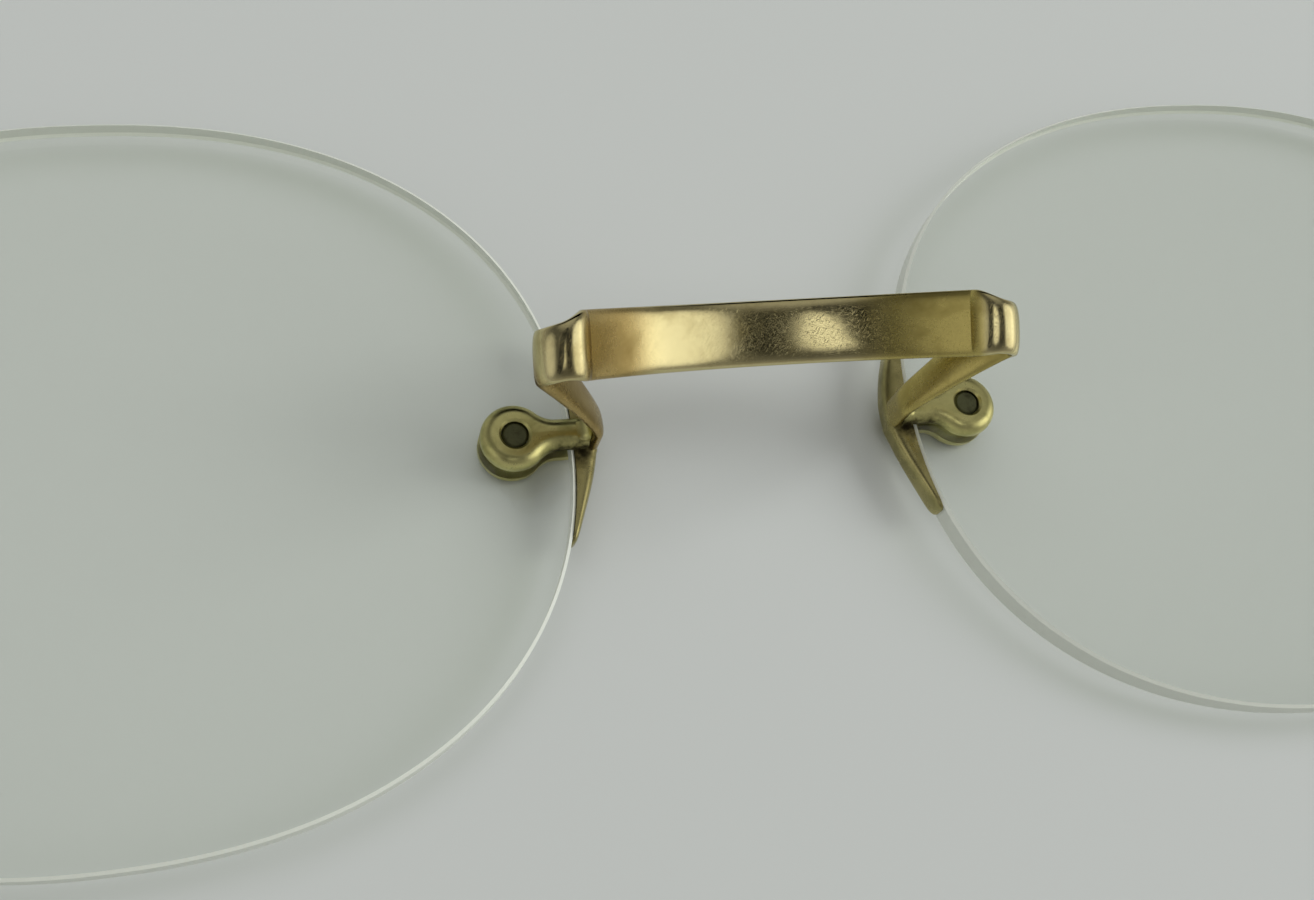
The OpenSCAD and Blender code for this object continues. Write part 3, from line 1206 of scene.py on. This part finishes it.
    def _braze(self, sheet: Sheet) -> None:
        """Adds the brazed fillet between the strap's face and the bridge's foot.

        Args:
            sheet: what the strap's skin is collected in.
        """
        rings = []
        for u in shares(self.braze_rings, 0):
            v = 2 * u - 1
            y = v * (self.neck_w / 2 - self.braze_inset)
            size = self.braze_r * math.sqrt(max(1 - abs(v) ** self.braze_fullness, 0.0)) + self.least
            past_flat = max(0.0, (abs(y) - self.braze_flat) / self.round_r)
            drop = self.round_r * (1 - math.sqrt(max(0.0, 1 - past_flat ** 2)))
            curve = [(size * (1 - math.sin(a)), y, size * (1 - math.cos(a)))
                     for a in np.linspace(math.pi / 2, 0, self.braze_sides + 1)]
            low = -self.braze_sink
            curve = np.array([(0.0, y, size), *curve, (size, y, low), (0.0, y, low)])
            rings.append(self._stand(curve + np.array([-self.root, 0, SIZES.strap_t - drop])))
        sheet.add_rings(rings, capped=True)


@dataclass
class LensScrew:
    """A slotted countersunk screw with a fine thread."""

    side: Side
    d: float = 1.1
    head_d: float = 1.9
    head_sink: float = 0.05
    head_rim: float = 0.08
    head_edge: float = 0.03
    slot_w: float = 0.26
    slot_h: float = 0.2
    slot_clear: float = 0.3
    slot_crisp: float = 35.0
    tip_recess: float = 0.12
    tip_chamfer: float = 0.1
    tip_flat_r: float = 0.2
    tip_dish: float = 0.015
    tip_middle: float = 0.01
    pitch: float = 0.22
    thread: float = 0.06
    thread_step: float = 0.0183
    around: int = 96
    least_r: float = 1e-4

    def profile(self) -> list[tuple[float, float, bool]]:
        """Follows the screw's side from the head to the tip.

        Returns:
            Radius, height and whether the thread runs there.
        """
        head, shank = self.head_d / 2, self.d / 2
        top = SIZES.back_z + SIZES.strap_t - self.tip_recess
        z0 = self.head_sink
        neck = z0 + self.head_rim + (head - shank)
        rows = [(0.0, z0, False), (head - self.head_edge, z0, False), (head, z0 + self.head_edge, False),
                (head, z0 + self.head_rim, False), (shank, neck, False)]
        z = neck + self.head_edge
        while z < top - self.tip_chamfer:
            rows.append((shank, z, True))
            z += self.thread_step
        return rows + [(shank, top - self.tip_chamfer, False), (shank - self.tip_chamfer, top, False),
                       (self.tip_flat_r, top - self.tip_dish, False), (0.0, top - self.tip_middle, False)]

    def build(self, steel: bpy.types.Material) -> bpy.types.Object:
        """Builds the screw.

        Args:
            steel: its finish.

        Returns:
            The piece.
        """
        a = np.linspace(0, 2 * math.pi, self.around, endpoint=False)
        rings = []
        for r, z, threaded in self.profile():
            phase = (z / self.pitch - a / (2 * math.pi)) % 1.0
            wave = self.thread * np.abs(2 * phase - 1) if threaded else 0.0
            radius = np.maximum(r - wave, self.least_r)
            circle = [SIZES.hole_x + radius * np.cos(a), -SIZES.hole_drop + radius * np.sin(a)]
            rings.append(at_height(np.column_stack(circle), z))
        sheet = Sheet()
        sheet.add_rings(rings[::-1])
        piece = sheet.make(f"{self.side.word}_screw_body", self.side, [steel])
        weld(piece)
        self._cut_slot(piece)
        settle(piece, f"{self.side.word}_lens_screw", f"{self.side.word}_screw")
        return piece

    def _cut_slot(self, piece: bpy.types.Object) -> None:
        """Cuts the driver's slot across the head.

        Args:
            piece: the screw.
        """
        x0 = SIZES.hole_x * self.side.value
        mesh = bpy.data.meshes.new("slot_cutter")
        low, high = self.head_sink - self.slot_clear, self.head_sink + self.slot_h
        corners = [(x0 + i * self.head_d, -SIZES.hole_drop + j * self.slot_w / 2, z)
                   for z in (low, high) for j in (-1, 1) for i in (-1, 1)]
        faces = [(0, 2, 3, 1), (4, 5, 7, 6), (0, 1, 5, 4), (2, 6, 7, 3), (0, 4, 6, 2), (1, 3, 7, 5)]
        mesh.from_pydata((np.array(corners) * MM).tolist(), [], faces)
        cutter = bpy.data.objects.new("slot_cutter", mesh)
        bpy.context.scene.collection.objects.link(cutter)
        cut = piece.modifiers.new("slot", "BOOLEAN")
        cut.operation = "DIFFERENCE"
        cut.object = cutter
        cut.solver = "EXACT"
        graph = bpy.context.evaluated_depsgraph_get()
        shaped = bpy.data.meshes.new_from_object(piece.evaluated_get(graph))
        piece.modifiers.clear()
        piece.data = shaped
        shaped.set_sharp_from_angle(angle=math.radians(self.slot_crisp))
        bpy.data.objects.remove(cutter)


@dataclass(frozen=True)
class Lamp:
    """One soft lamp that looks at the object."""

    name: str
    place: Triple
    size: tuple[float, float]
    power: float
    target: Triple = (0, 0, 0.003)

    def hang(self) -> None:
        """Adds the lamp to the scene."""
        data = bpy.data.lights.new(self.name, "AREA")
        data.shape = "RECTANGLE"
        data.size, data.size_y = self.size
        data.energy = self.power
        lamp = bpy.data.objects.new(self.name, data)
        lamp.location = self.place
        lamp.rotation_euler = (Vector(self.target) - Vector(self.place)).to_track_quat("-Z", "Y").to_euler()
        lamp.visible_glossy = False
        lamp.visible_transmission = False
        bpy.context.scene.collection.objects.link(lamp)


def panel(name: str, corners: Sequence[Triple], material: bpy.types.Material) -> bpy.types.Object:
    """Makes a flat panel for the studio.

    Args:
        name: the panel's name.
        corners: its corners in order, in millimetres.
        material: its finish.

    Returns:
        The panel.
    """
    sheet = Sheet()
    sheet.add_points(np.array(corners))
    sheet.add_face(range(len(corners)))
    return sheet.make(name, None, [material])


@dataclass(frozen=True)
class DarkCard:
    """The dark front of the camera, which only the shiny metal sees.

    Attributes:
        place: its middle, in millimetres.
        size: its width and height, in millimetres.
        cut: what is cut off one upper corner, so that the flat glass doesn't mirror it.
    """

    place: Triple
    size: tuple[float, float]
    cut: tuple[float, float]

    def hang(self) -> None:
        """Adds the card to the scene, facing the object."""
        middle = Vector(self.place)
        turn = (-middle).to_track_quat("Z", "Y").to_matrix()
        w, h = self.size[0] / 2, self.size[1] / 2
        flat = ((-w, -h, 0), (w, -h, 0), (w, h - self.cut[1], 0), (w - self.cut[0], h, 0), (-w, h, 0))
        corners = [tuple(middle + turn @ Vector(corner)) for corner in flat]
        black = MaterialNodes("camera_front").matt((0.02, 0.02, 0.02), roughness=0.8)
        card = panel("camera_front", corners, black)
        card.visible_camera = card.visible_diffuse = False
        card.visible_shadow = card.visible_transmission = False


@dataclass(frozen=True)
class Window:
    """A soft bright or dark patch of the room, seen in reflections and as gentle light.

    Attributes:
        towards: direction from the object.
        inner: half-angle of the even middle, in degrees.
        outer: half-angle where it has faded out, in degrees.
        level: how much it adds, below 0 for a dark one.
    """

    towards: Triple
    inner: float
    outer: float
    level: float

    def add(self, n: Nodes, direction: Socket, level: Socket) -> Socket:
        """Adds the patch to the room's brightness.

        Args:
            n: the world's nodes.
            direction: the direction looked at.
            level: brightness so far.

        Returns:
            Brightness with the patch.
        """
        towards = Vector(self.towards).normalized()
        near = n.add("VectorMath", {0: direction, 1: towards}, operation="DOT_PRODUCT").outputs["Value"]
        outer, inner = math.cos(math.radians(self.outer)), math.cos(math.radians(self.inner))
        return n.sums("ADD", n.ramp(near, outer, inner, ends=(0.0, self.level), smooth=True), level)


@dataclass
class Studio:
    """Pale table, soft lamps and the camera at the photograph's angle."""

    camera_place: Triple = (-0.0198129, -0.0219192, 0.0596238)
    camera_axes: tuple[Triple, ...] = (
        (0.965992, 0.073336, -0.247954), (-0.155244, 0.93136, -0.329346), (0.206781, 0.356639, 0.911071))
    lens_mm: float = 40.84
    sensor_mm: float = 36.0
    sight: tuple[float, float] = (0.0005, 20.0)
    floor_half: float = 3000.0
    floor_z: float = -0.02
    floor_colour: Triple = (0.61, 0.635, 0.615)
    walls: float = 0.42
    ceiling: float = 0.11
    walls_to: float = 0.65
    sky_colour: Triple = (1.0, 1.0, 0.97)
    lamps: tuple[Lamp, ...] = (
        Lamp("right_window", (0.52, 0.05, 0.40), (0.34, 0.36), 1.35),
        Lamp("overhead", (-0.05, 0.22, 0.62), (0.7, 0.6), 1.7),
    )
    windows: tuple[Window, ...] = (
        Window((-0.13, -0.44, 0.885), 5, 16, 1.2),
        Window((0.80, -0.26, 0.52), 14, 28, 1.15),
        Window((0.98, -0.10, 0.12), 8, 26, 0.5),
        Window((0.31, -0.42, 0.85), 7, 19, -0.09),
        Window((-0.83, -0.27, 0.48), 8, 26, 0.5),
        Window((0.12, 0.40, 0.91), 12, 38, 0.3),
        Window((0.15, 0.96, 0.18), 20, 42, -0.3),
    )
    card: DarkCard = DarkCard((-18.6, -21.9, 59.6), (17, 60), (7.5, 19))

    def build(self) -> None:
        """Adds the floor, the sky, the lamps, the dark card and the camera."""
        bpy.context.scene.view_settings.view_transform = "Standard"
        self._floor()
        self._sky()
        for lamp in self.lamps:
            lamp.hang()
        self.card.hang()
        data = bpy.data.cameras.new("photo_camera")
        data.sensor_width = self.sensor_mm
        data.lens = self.lens_mm
        data.clip_start, data.clip_end = self.sight
        camera = bpy.data.objects.new("photo_camera", data)
        turn = Matrix(self.camera_axes).to_4x4()
        camera.matrix_world = Matrix.Translation(Vector(self.camera_place)) @ turn
        bpy.context.scene.collection.objects.link(camera)
        bpy.context.scene.camera = camera

    def _floor(self) -> None:
        """Adds the plain pale table top."""
        half = self.floor_half
        corners = [(i * half, j * half, self.floor_z) for i, j in ((-1, -1), (1, -1), (1, 1), (-1, 1))]
        pale = MaterialNodes("pale_table").matt(self.floor_colour, roughness=0.95, gloss=0.15)
        floor = panel("table_top", corners, pale)

    def _sky(self) -> None:
        """Sets a soft room light: dim overhead, paler at the walls, with a few bright windows."""
        world = bpy.data.worlds.new("room")
        bpy.context.scene.world = world
        world.use_nodes = True
        n = Nodes(world.node_tree)
        direction = n.add("TexCoord").outputs["Generated"]
        height = n.add("SeparateXYZ", {0: direction}).outputs["Z"]
        level = n.ramp(height, high=self.walls_to, ends=(self.walls, self.ceiling))
        for window in self.windows:
            level = window.add(n, direction, level)
        sky = n.add("Background", {"Color": (*self.sky_colour, 1), "Strength": level}).outputs["Background"]
        n.add("OutputWorld", {"Surface": sky})


class Finishes:
    """The object's materials, built once."""

    def __init__(self) -> None:
        """Builds the shared effects and then each finish."""
        effects = SharedEffects()
        # Crevices at the joints, corners, hole and under the neck, darkened with dirt and painted shade.
        joint = DirtAndShadeSpot(7.4, -0.95, 2.2, 0.8)
        corner = DirtAndShadeSpot(7.25, 0.42, 2.9, 0.3)
        under_neck = DirtAndShadeSpot(8.25, -1.05, 2.0, 1.15)
        round_tip = DirtAndShadeSpot(SIZES.hole_x, -0.18, 2.45, 0.7)
        loop_crease = DirtAndShadeSpot(7.95, 1.1, 8.1, 0.4)
        by_block = DirtAndShadeSpot(7.6, 1.2, 1.4, 0.5)
        self.strip = GoldFinish(
            "strip_gold", base=(0.62, 0.54, 0.28), skin=(0.42, 0.345, 0.15), roughness=0.25,
            skin_roughness=0.38, cover=0.34, scratch=0.13, spots=(loop_crease, joint),
            polished_to=4.95, polished_middle=-0.42).build(effects)
        self.shoe = GoldFinish(
            "shoe_gold", base=(0.45, 0.395, 0.17), skin=(0.21, 0.19, 0.075), roughness=0.22,
            skin_roughness=0.4, cover=0.42, scratch=0.12, spots=(joint, by_block)).build(effects)
        self.tongue = GoldFinish(
            "tongue_gold", base=(0.70, 0.645, 0.27), skin=(0.42, 0.40, 0.145), roughness=0.28,
            skin_roughness=0.46, cover=0.38, scratch=0.16, spots=(joint, corner, under_neck, round_tip),
            patch_scale=0.9).build(effects)
        self.steel = SteelFinish().build(effects)
        self.clear = GlassFinish(
            "clear_glass", tint=(0.96, 0.978, 0.948), shade=(0.97, 0.976, 0.963), roughness=0.0,
            clearness=1.0, marks=2.3, marks_from=0.66, marks_to=0.8, marks_gain=0.05).build()
        self.ground = GlassFinish(
            "ground_edge", tint=(0.84, 0.87, 0.785), shade=(0.6, 0.63, 0.55), roughness=0.3,
            clearness=0.14, marks=9.0, marks_from=0.35, marks_to=0.7, marks_gain=0.2,
            grinding=0.35).build()


def main() -> None:
    """Builds every piece in order."""
    logging.basicConfig(level=logging.INFO, format="%(message)s")
    Studio().build()
    looks = Finishes()
    SaddleBridge().build(looks.strip)
    for side in Side:
        Lens(side).build(looks.clear, looks.ground)
        Shoe(side).build(looks.shoe)
        Strap(side, StrapPlace.REAR).build(looks.tongue)
        Strap(side, StrapPlace.FRONT).build(looks.tongue)
        LensScrew(side).build(looks.steel)


if __name__ == "__main__":
    main()
